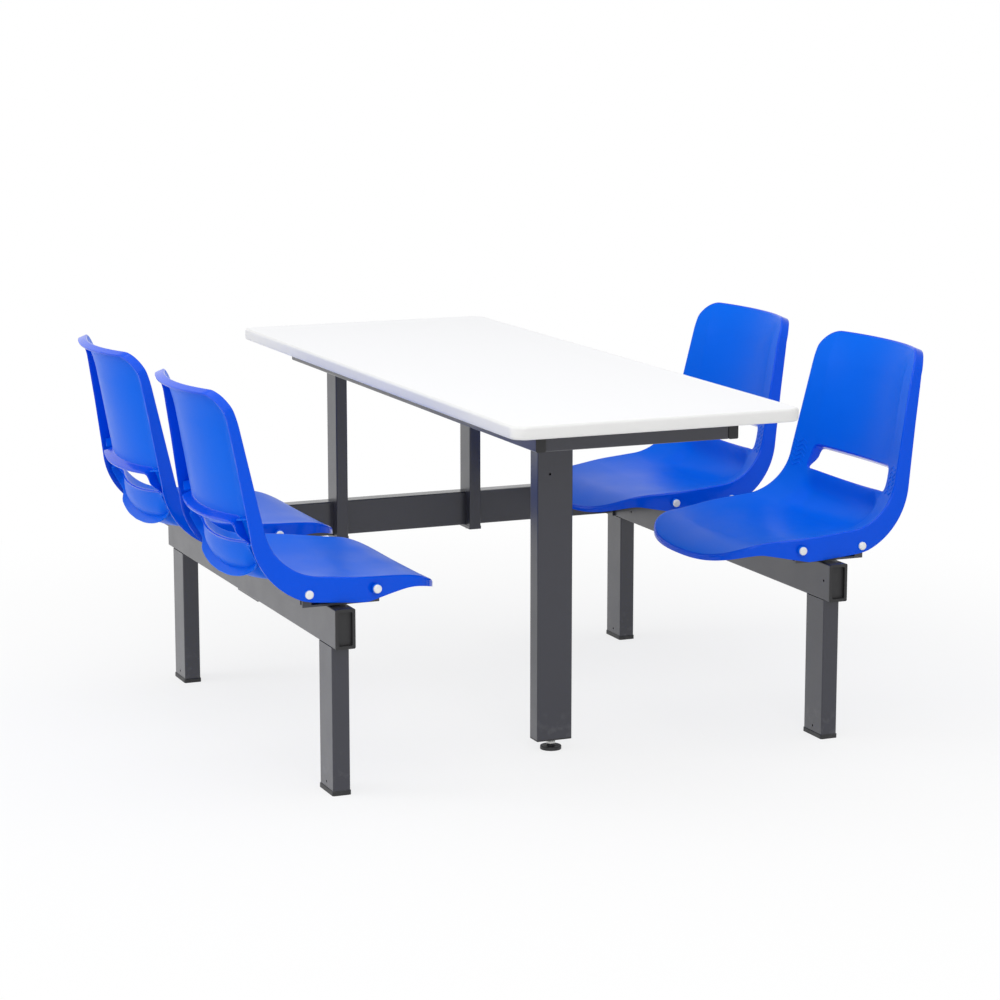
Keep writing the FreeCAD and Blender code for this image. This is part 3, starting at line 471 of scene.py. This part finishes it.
def slotOutline(counts):
    # rounded trapezoid in (along, across), one run of points per side: low, right, high, left
    g = slotForm
    low, high = slotCentre - g["height"] / 2, slotCentre + g["height"] / 2
    corners = np.array([[low, -g["halfLow"]], [low, g["halfLow"]],
                        [high, g["halfHigh"]], [high, -g["halfHigh"]]])
    arcs = []
    for k in range(4):
        p, before, after = corners[k], corners[k - 1], corners[(k + 1) % 4]
        e0, e1 = unit(before - p), unit(after - p)
        t = np.linspace(0, 1, 13)[:, None]
        first, last = p + e0 * g["corner"], p + e1 * g["corner"]
        arcs.append((1 - t) ** 2 * first + 2 * t * (1 - t) * p + t ** 2 * last)
    runs = []
    for k in range(4):
        path = np.concatenate([arcs[k][6:], arcs[(k + 1) % 4][:7]])
        runs.append(resample(path, counts[k] + 1)[:-1])
    return np.concatenate(runs)


def rollEdge(start, out, away, radius, depth, flareWay, flare, bends=5, drops=5):
    # from each edge point, a quarter turn from 'out' to 'away', then straight to the full depth
    rings = []
    for k in range(1, bends + 1):
        a = math.pi / 2 * k / bends
        rings.append(start + radius[:, None] * (out * math.sin(a) + away * (1 - math.cos(a))))
    for k in range(1, drops + 1):
        t = k / drops
        drop = np.maximum(depth - radius, seatForm["leastDrop"])[:, None] * t
        rings.append(rings[bends - 1] + away * drop + flareWay * flare[:, None] * t)
    return np.stack(rings)


def seatShellMesh():
    # the front surface without the slot's block, a ring that fills in to the slot, its lips and the skirt
    f, g = seatForm, slotForm
    patch = seatGrid()
    rows, cols = patch.shape[:2]
    mid = cols // 2
    low, high = slotCentre - g["height"] / 2 - g["margin"], slotCentre + g["height"] / 2 + g["margin"]
    i0 = int(np.argmin(np.abs(patch[:, mid, 0] - low)))
    i1 = int(np.argmin(np.abs(patch[:, mid, 0] - high)))
    im = (i0 + i1) // 2
    j1 = int(np.argmin(np.abs(patch[im, :, 1] - (g["halfHigh"] + g["margin"]))))
    j0 = cols - 1 - j1
    flat = patch.reshape(-1, 2)
    number = np.arange(rows * cols).reshape(rows, cols)
    faces = gridFaces(rows, cols).reshape(rows - 1, cols - 1, 4)
    keep = np.ones((rows - 1, cols - 1), bool)
    keep[i0:i1, j0:j1] = False
    faces = faces[keep]
    # ring round the slot: block border first, then rings in to the slot's own outline
    border = np.concatenate([number[i0, j0:j1], number[i0:i1, j1],
                             number[i1, j1:j0:-1], number[i1:i0:-1, j0]])
    counts = [j1 - j0, i1 - i0, j1 - j0, i1 - i0]
    outline = slotOutline(counts)
    rings = [flat[border] + (outline - flat[border]) * smoothStep(k / g["rings"])
             for k in range(1, g["rings"] + 1)]
    allPlan = np.concatenate([flat] + rings)
    points = seatPoint(allPlan[:, 0], allPlan[:, 1])
    n = len(border)
    ids = [border] + [len(flat) + k * n + np.arange(n) for k in range(g["rings"])]
    ringFaces = []
    for a, b in zip(ids[:-1], ids[1:]):
        ringFaces.append(np.stack([a, np.roll(a, -1), np.roll(b, -1), b], -1))
    # lips of the slot, turned back all round
    p = seatPoint(outline[:, 0], outline[:, 1])
    normal = seatNormal(outline[:, 0], outline[:, 1])
    tangent = unit(np.roll(p, -1, 0) - np.roll(p, 1, 0))
    inward = unit(np.cross(normal, tangent))
    centre = p.mean(0)
    inward = np.where(np.sum(inward * (centre - p), -1).mean() < 0, -inward, inward)
    back = unit(-normal + np.array([0, 0, -g["tilt"]]))
    rise = smoothStep((outline[:, 0] - slotCentre + g["height"] / 2) / g["height"] * g["lipEase"])
    depth = g["lowDepth"] + (g["depth"] - g["lowDepth"]) * rise
    lips = rollEdge(p, inward, back, np.full(n, g["edge"]), depth, inward, np.zeros(n), 4, 4)
    first = len(points)
    points = np.concatenate([points, lips.reshape(-1, 3)])
    lipIds = [ids[-1]] + [first + k * n + np.arange(n) for k in range(len(lips))]
    for a, b in zip(lipIds[:-1], lipIds[1:]):
        ringFaces.append(np.stack([a, np.roll(a, -1), np.roll(b, -1), b], -1))
    # outer rim rolled into the skirt
    rim = np.concatenate([number[0, :-1], number[:-1, -1], number[-1, :0:-1], number[:0:-1, 0]])
    plan = flat[rim]
    p = seatPoint(plan[:, 0], plan[:, 1])
    nu, nz = profilePath(plan[:, 0])[2:]
    base = np.stack([nu, 0 * nu, nz], -1)
    tangent = unit(np.roll(p, -1, 0) - np.roll(p, 1, 0))
    surface = seatNormal(plan[:, 0], plan[:, 1])
    out = unit(np.cross(tangent, surface))
    if np.sum(out * (p - p.mean(0))) < 0:
        out = -out
    atLip = 1 - smoothStep(plan[:, 0] / f["lipRun"])
    lean = f["lipLean"] * atLip[:, None]
    away = unit(-base * (1 - lean) + np.array([0, 0, -1.0]) * lean)
    radius = f["rimRadius"] + (f["lipRim"] - f["rimRadius"]) * atLip
    runs = f["skirtRuns"]
    depth = np.interp(plan[:, 0], [0, panStart, panStart + runs[0], panEnd + runs[1], panEnd + runs[2],
                                   bendEnd, bendEnd + runs[3], profileEnd], f["skirt"])
    flare = f["flare"] * smoothStep((plan[:, 0] - panEnd) / (bendEnd - panEnd))
    flare = flare * np.clip(np.abs(out[:, 1]), f["flareLeast"], 1) + f["edgeFlare"]
    skirt = rollEdge(p, out, away, radius, depth, out, flare)
    first = len(points)
    m = len(rim)
    points = np.concatenate([points, skirt.reshape(-1, 3)])
    rimIds = [rim] + [first + k * m + np.arange(m) for k in range(len(skirt))]
    for a, b in zip(rimIds[:-1], rimIds[1:]):
        ringFaces.append(np.stack([b, np.roll(b, -1), np.roll(a, -1), a], -1))
    quads = np.concatenate([faces] + ringFaces)
    # the slot lips, rim and skirt take the second finish: glossier, and a darker blue as painted shade
    glossAndShadeFaces = np.zeros(len(quads), int)
    glossAndShadeFaces[len(faces) + g["rings"] * n:] = 1
    return points, quads, glossAndShadeFaces


ribForm = {"bandHalf": 0.184, "bandPower": 4.4, "bandDrop": 0.078, "bandDepth": 0.020, "gussetDepth": 0.016,
           "gussetSteps": 8, "gussetSlope": 0.006, "slotGap": 0.004, "flangeLap": 0.001, "wall": 0.003,
           "sunk": 0.0015}


def ribStrip(plan, depth):
    # a wall standing on the shell's rear face along a (along, across) path, reaching back by its depth
    plan = np.asarray(plan, float)
    p = seatPoint(plan[:, 0], plan[:, 1])
    normal = seatNormal(plan[:, 0], plan[:, 1])
    tangent = unit(np.gradient(p, axis=0))
    side = unit(np.cross(normal, tangent))
    depth = np.broadcast_to(np.asarray(depth, float), (len(plan),))[:, None]
    loop = [(-0.5, 0.0015), (-0.5, 0.96), (-0.3, 1.0), (0.3, 1.0), (0.5, 0.96), (0.5, 0.0015)]
    rows = [p + side * ribForm["wall"] * a - normal * (ribForm["sunk"] + depth * b) for a, b in loop]
    pts = np.stack(rows, 1).reshape(-1, 3)
    return pts, tubeFaces(len(plan), len(loop))


def seatRibs():
    # the band that runs under the rear pocket, and short gussets from the slot's ends to the side flanges
    g, r = slotForm, ribForm
    parts = []
    a = np.linspace(-math.pi / 2, math.pi / 2, 61)
    gap = r["slotGap"]
    top = slotCentre - g["height"] / 2 + gap
    bottom = panEnd + r["bandDrop"]
    along = top - (top - bottom) * np.cos(a) ** (2 / r["bandPower"])
    across = r["bandHalf"] * np.sign(np.sin(a)) * np.abs(np.sin(a)) ** (2 / r["bandPower"])
    parts.append(ribStrip(np.stack([along, across], -1), r["bandDepth"]))
    for sign in (-1, 1):
        for d, start in ((top, g["halfLow"]), (slotCentre + g["height"] / 2 - gap, g["halfHigh"])):
            v = np.linspace(start + gap, halfWidth(np.array(d)) + r["flangeLap"], r["gussetSteps"]) * sign
            along = d + r["gussetSlope"] * np.linspace(0, 1, r["gussetSteps"])
            parts.append(ribStrip(np.stack([along, v], -1), r["gussetDepth"]))
    return joinParts(parts)


chevronForm = {"count": 6, "pitch": 0.0098, "first": -0.025, "from": 0.174, "to": 0.215, "swing": 0.0042,
               "width": 0.0021, "height": 0.0011, "folds": 1.5, "soften": 0.35, "endSlope": 10,
               "endLeast": 0.25, "sunk": 0.25}


def seatChevrons():
    # short zigzag ridges across each arm beside the slot: a half round carried along a folded line
    c = chevronForm
    parts = []
    t = np.linspace(0, 1, 37)
    for sign in (-1, 1):
        for k in range(c["count"]):
            fold = np.abs(((t * c["folds"] + 0.5) % 1.0) * 2 - 1)
            fold = smoothStep(fold) * c["soften"] + fold * (1 - c["soften"])
            d = slotCentre + c["first"] + k * c["pitch"] + c["swing"] * (fold * 2 - 1)
            v = sign * (c["from"] + (c["to"] - c["from"]) * t)
            p = seatPoint(d, v)
            normal = seatNormal(d, v)
            tangent = unit(np.gradient(p, axis=0))
            side = unit(np.cross(normal, tangent))
            fade = np.minimum(1, np.minimum(t, 1 - t) * c["endSlope"] + c["endLeast"])[:, None]
            a = np.linspace(-c["sunk"], math.pi + c["sunk"], 8)
            rows = [p + side * c["width"] / 2 * math.cos(b) * fade + normal * c["height"] * math.sin(b) * fade
                    for b in a]
            pts = np.stack(rows, 1).reshape(-1, 3)
            parts.append((pts, tubeFaces(len(t), len(a))))
    return joinParts(parts)


boltForm = {"forward": (-0.0643, 0.0717), "height": 0.396, "face": 0.2325, "padRadius": 0.0100,
            "padDepth": 0.004, "capRadius": 0.00825, "capHeight": 0.0052, "capEdge": 0.0012,
            "capGap": 0.00005, "sides": 40}


def boltParts(kind):
    # turned pads or caps at the four side bolts, from (distance outward, radius) profiles
    b = boltForm
    if kind == "pad":
        r, h = b["padRadius"], b["padDepth"]
        profile = [(-h, 0), (-h, r), (-0.0008, r), (-0.0002, r - 0.0003), (0, r - 0.0009), (0, 0)]
    else:
        r, h, e, gap = b["capRadius"], b["capHeight"], b["capEdge"], b["capGap"]
        a = np.linspace(0, math.pi / 2, 7)
        dome = [(h * 0.55 + h * 0.45 * math.sin(x), r - e + e * math.cos(x) - 2 * e * math.sin(x) ** 2)
                for x in a]
        crown = [(h, r * 0.45), (h * 0.97, r * 0.2), (h * 0.965, 0)]
        profile = [(gap, 0), (gap, r), (h * 0.25, r)] + dome + crown
    parts = []
    for u in b["forward"]:
        for sign in (-1, 1):
            parts.append(lathe(profile, (u, sign * b["face"], b["height"]), (0, sign, 0), b["sides"]))
    return joinParts(parts)


def placeSeat(points, side, rowY, beamX):
    # left seats face +X, right seats are the same shell turned half round
    sign = -side
    return np.stack([side * beamX + sign * points[:, 0], rowY + sign * points[:, 1], points[:, 2]], -1)


seatPlaces = {"near_left": (-1, -0.2742), "far_left": (-1, 0.2962), "near_right": (1, -0.2742),
              "far_right": (1, 0.2962)}
beamX = 0.5278
shellPts, shellQuads, shellGlossAndShade = seatShellMesh()
ribPts, ribFaces = seatRibs()
chevronPts, chevronFaces = seatChevrons()
padPts, padFaces = boltParts("pad")
capPts, capFaces = boltParts("cap")
for tag, (side, rowY) in seatPlaces.items():
    body = "seat_" + tag
    label = tag.title().replace("_", "")
    shell = makeMesh("seatShell" + label, placeSeat(shellPts, side, rowY, beamX), shellQuads,
                     [materials["blueShell"], materials["blueGloss"]], faceMaterials=shellGlossAndShade)
    addModifier(shell, "SOLIDIFY", thickness=seatForm["wall"], offset=-1.0, use_even_offset=True)
    addModifier(shell, "BEVEL", width=seatForm["bevel"], segments=2, limit_method="ANGLE",
                angle_limit=math.radians(50))
    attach(shell, body)
    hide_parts("seat_shell_" + tag)
    for name, pts, faces, finish, slot in (
            ("seatRibs", ribPts, ribFaces, "blueShell", "blue_plastic"),
            ("seatChevrons", chevronPts, chevronFaces, "blueShell", "blue_plastic"),
            ("boltPads", padPts, padFaces, "blueShell", "blue_plastic"),
            ("boltCaps", capPts, capFaces, "capWhite", "white_plastic")):
        piece = makeMesh(name + label, placeSeat(pts, side, rowY, beamX), faces, materials[finish],
                         smooth=name != "seatRibs")
        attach(piece, body)
        if name == "boltCaps":
            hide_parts("white_caps_" + tag)
print("seats:", len(shellQuads), "quads each")


# table top: one profile carried round a rounded rectangle

topForm = {"halfX": 0.296, "halfY": 0.790, "low": 0.710, "high": 0.735, "corner": 0.030, "edge": 0.0055,
           "bandLap": 0.001, "faceLap": 0.010, "cornerSteps": 10}


def roundedPath(halfX, halfY, corner, steps):
    # points round a rounded rectangle and the outward direction at each
    a = np.linspace(0, math.pi / 2, steps + 1)
    pts, out = [], []
    for k, (sx, sy) in enumerate(((1, 1), (-1, 1), (-1, -1), (1, -1))):
        b = a + k * math.pi / 2
        d = np.stack([np.cos(b), np.sin(b)], -1)
        pts.append(np.array([sx * (halfX - corner), sy * (halfY - corner)]) + d * corner)
        out.append(d)
    return np.concatenate(pts), np.concatenate(out)


def tableTop():
    # a section of (outward, up) points carried round the outline; face materials are 0 laminate, 1 edge
    # band and 2 underside
    f = topForm
    path, out = roundedPath(f["halfX"], f["halfY"], f["corner"], f["cornerSteps"])
    e, lap, inner = f["edge"], f["bandLap"], f["faceLap"]
    a = np.linspace(0, math.pi / 2, 6)
    section = [(-inner, f["low"]), (-e - lap, f["low"])]
    section += [(-e + e * math.sin(t), f["low"] + e - e * math.cos(t)) for t in a]
    section += [(-e + e * math.cos(t), f["high"] - e + e * math.sin(t)) for t in a]
    section += [(-e - lap, f["high"]), (-inner, f["high"])]
    section = np.array(section)
    n, m = len(section), len(path)
    ring = path[None] + out[None] * section[:, 0][:, None, None]
    pts = np.concatenate([ring, np.broadcast_to(section[:, 1][:, None, None], (n, m, 1))], -1).reshape(-1, 3)
    kinds = np.repeat([2, 2] + [1] * (n - 5) + [0, 0], m).tolist()
    return pts, tubeFaces(n, m), kinds + [2, 0]


topPts, topFaces, topKinds = tableTop()
board = makeMesh("tableTop", topPts, topFaces, [materials["laminate"], materials["edgeBand"],
                                                 materials["boardUnder"]], faceMaterials=topKinds)
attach(board, "frame")
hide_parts("table_laminate", "edge_band", "table_board")
print("table top made")


# weld beads where the posts meet the beams: a rippled round bead along short straights

beadForm = {"radius": 0.0024, "ripple": 0.16, "pitch": 0.0026, "length": 0.026, "step": 0.0009,
            "leastSteps": 8, "endPower": 8, "endLeast": 0.02, "cornerGap": 0.004, "sides": 12}


def weldBead(start, end):
    # a round tube from start to end, its radius rippled by a sine and drawn in at both ends
    b = beadForm
    start, end = np.asarray(start, float), np.asarray(end, float)
    length = np.linalg.norm(end - start)
    way = (end - start) / length
    count = max(int(length / b["step"]), b["leastSteps"])
    t = np.linspace(0, 1, count)
    side = unit(np.cross(way, [0.2, 0.3, 1.0]))
    other = np.cross(way, side)
    r = b["radius"] * (1 + b["ripple"] * np.abs(np.sin(t * length / b["pitch"] * math.pi)))
    r = r * np.sqrt(np.clip(1 - (2 * t - 1) ** b["endPower"], b["endLeast"], 1))
    sides = b["sides"]
    a = np.linspace(0, 2 * math.pi, sides, endpoint=False)
    ring = np.cos(a)[:, None] * side + np.sin(a)[:, None] * other
    pts = start + (end - start) * t[:, None, None] + r[:, None, None] * ring[None]
    return pts.reshape(-1, 3), tubeFaces(count, sides)


beads = []
for name in ("post_near_left", "post_far_left", "post_near_right", "post_far_right"):
    lo, hi = [np.array(c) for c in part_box(name)]
    z = hi[2]
    gap, length = beadForm["cornerGap"], beadForm["length"]
    for y in (lo[1], hi[1]):
        beads.append(weldBead((lo[0] + gap, y, z), (hi[0] - gap, y, z)))
    beads.append(weldBead((hi[0], lo[1] + gap, z), (hi[0], lo[1] + gap + length, z)))
    beads.append(weldBead((hi[0], hi[1] - gap - length, z), (hi[0], hi[1] - gap, z)))
beadPts, beadFaces = joinParts(beads)
weld = makeMesh("weldBeads", beadPts, beadFaces, materials["coatedSteel"])
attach(weld, "frame")
print("welds made")


# finishes on the pieces carried over from the frame

nodeFinish = {"rail_plugs": "blackPlastic", "beam_plugs": "blackPlastic", "foot_caps": "blackPlastic",
              "leg_insert": "blackPlastic", "foot_base": "blackPlastic", "thrust_washers": "nylon"}
for name, obj in nodes.items():
    finish = nodeFinish.get(name)
    if finish is None:
        zinc = any(word in name for word in ("screws", "bolts", "nuts", "studs", "stem", "pins"))
        finish = "zincSteel" if zinc else "coatedSteel"
        if name.startswith("pivot_bush"):
            finish = "nylon"
        elif name.startswith(("seat_shell", "white_caps", "table_", "edge_")):
            continue
    obj.data.materials.clear()
    obj.data.materials.append(materials[finish])
print("frame finishes set")


# floor, light and camera

studio = {"floor": (0.90, 0.90, 0.90), "floorHalf": 14.0, "floorShift": 2.0, "floorLines": 9,
          "worldDiffuse": 0.50, "worldTint": (0.97, 0.98, 1.0), "fade": (0.9, 2.2), "fadeShare": 0.78,
          "cameraPlace": (-2.345, -5.5444, 1.5636), "cameraTurn": (79.49, 0.0, -23.02), "lens": 104.9}
lamps = {"overhead": {"place": (-0.4, -0.6, 4.2), "target": (0, 0, 0.4), "size": (4.5, 4.5), "power": 78},
         "frontSoft": {"place": (-1.2, -5.2, 3.0), "target": (0, 0, 0.5), "size": (3.0, 2.2), "power": 75},
         "leftSoft": {"place": (-4.6, 1.2, 2.4), "target": (0, 0, 0.5), "size": (2.4, 3.0), "power": 70}}


def seeingRays(tree):
    # 1 for the rays that look at something: camera, mirror and see-through ones
    path = addNode(tree, "ShaderNodeLightPath")
    total = path.outputs["Is Camera Ray"]
    for label in ("Is Glossy Ray", "Is Transmission Ray"):
        either = addNode(tree, "ShaderNodeMath", operation="MAXIMUM")
        link(tree, total, either.inputs[0])
        link(tree, path.outputs[label], either.inputs[1])
        total = either.outputs[0]
    return total


def makeFloor():
    # a pale floor that keeps the shadow near the object and turns to the backdrop's white away from it
    lines = studio["floorLines"]
    g = np.linspace(-studio["floorHalf"], studio["floorHalf"], lines)
    x, y = np.meshgrid(g, g + studio["floorShift"])
    pts = np.stack([x, y, np.zeros_like(x)], -1).reshape(-1, 3)
    material = bpy.data.materials.new("paleFloor")
    material.use_nodes = True
    tree = material.node_tree
    shader = tree.nodes["Principled BSDF"]
    shader.inputs["Roughness"].default_value = 0.9
    shader.inputs["Base Color"].default_value = (*studio["floor"], 1)
    coords = addNode(tree, "ShaderNodeTexCoord")
    reach = addNode(tree, "ShaderNodeVectorMath", operation="LENGTH")
    link(tree, coords.outputs["Object"], reach.inputs[0])
    fade = addNode(tree, "ShaderNodeMapRange", interpolation_type="SMOOTHSTEP")
    fade.inputs["From Min"].default_value = studio["fade"][0]
    fade.inputs["From Max"].default_value = studio["fade"][1]
    fade.inputs["To Min"].default_value = studio["fadeShare"]
    link(tree, reach.outputs["Value"], fade.inputs["Value"])
    share = addNode(tree, "ShaderNodeMath", operation="MULTIPLY")
    link(tree, fade.outputs[0], share.inputs[0])
    link(tree, seeingRays(tree), share.inputs[1])
    white = addNode(tree, "ShaderNodeEmission")
    white.inputs["Strength"].default_value = 1.0
    mix = addNode(tree, "ShaderNodeMixShader")
    link(tree, share.outputs[0], mix.inputs[0])
    link(tree, shader.outputs[0], mix.inputs[1])
    link(tree, white.outputs[0], mix.inputs[2])
    link(tree, mix.outputs[0], tree.nodes["Material Output"].inputs["Surface"])
    floor = makeMesh("floor", pts, gridFaces(lines, lines), material)


def makeWorld():
    # white to look at, a dimmer soft light on the object
    world = bpy.data.worlds.new("studio")
    bpy.context.scene.world = world
    world.use_nodes = True
    tree = world.node_tree
    tree.nodes.clear()
    out = addNode(tree, "ShaderNodeOutputWorld")
    seen = addNode(tree, "ShaderNodeBackground")
    seen.inputs["Strength"].default_value = 1.0
    seen.inputs["Color"].default_value = (1, 1, 1, 1)
    light = addNode(tree, "ShaderNodeBackground")
    light.inputs["Color"].default_value = (*studio["worldTint"], 1)
    light.inputs["Strength"].default_value = studio["worldDiffuse"]
    mix = addNode(tree, "ShaderNodeMixShader")
    link(tree, seeingRays(tree), mix.inputs[0])
    link(tree, light.outputs[0], mix.inputs[1])
    link(tree, seen.outputs[0], mix.inputs[2])
    link(tree, mix.outputs[0], out.inputs["Surface"])


def addLamp(name, place, target, size, power):
    # an area lamp turned to its target
    lamp = bpy.data.lights.new(name, "AREA")
    lamp.shape = "RECTANGLE"
    lamp.size, lamp.size_y = size
    lamp.energy = power
    obj = bpy.data.objects.new(name, lamp)
    bpy.context.scene.collection.objects.link(obj)
    place, target = np.array(place, float), np.array(target, float)
    obj.location = Vector(place)
    obj.rotation_euler = Vector(target - place).to_track_quat("-Z", "Y").to_euler()


makeFloor()
makeWorld()
for name, lamp in lamps.items():
    addLamp(name, **lamp)

camera = bpy.data.cameras.new("camera")
camera.lens = studio["lens"]
camera.sensor_width = 36.0
camera.clip_end = 100.0
cameraObject = bpy.data.objects.new("camera", camera)
cameraObject.location = studio["cameraPlace"]
cameraObject.rotation_euler = [math.radians(a) for a in studio["cameraTurn"]]
bpy.context.scene.collection.objects.link(cameraObject)
bpy.context.scene.camera = cameraObject
bpy.context.scene.view_settings.view_transform = "Standard"
print("studio set")
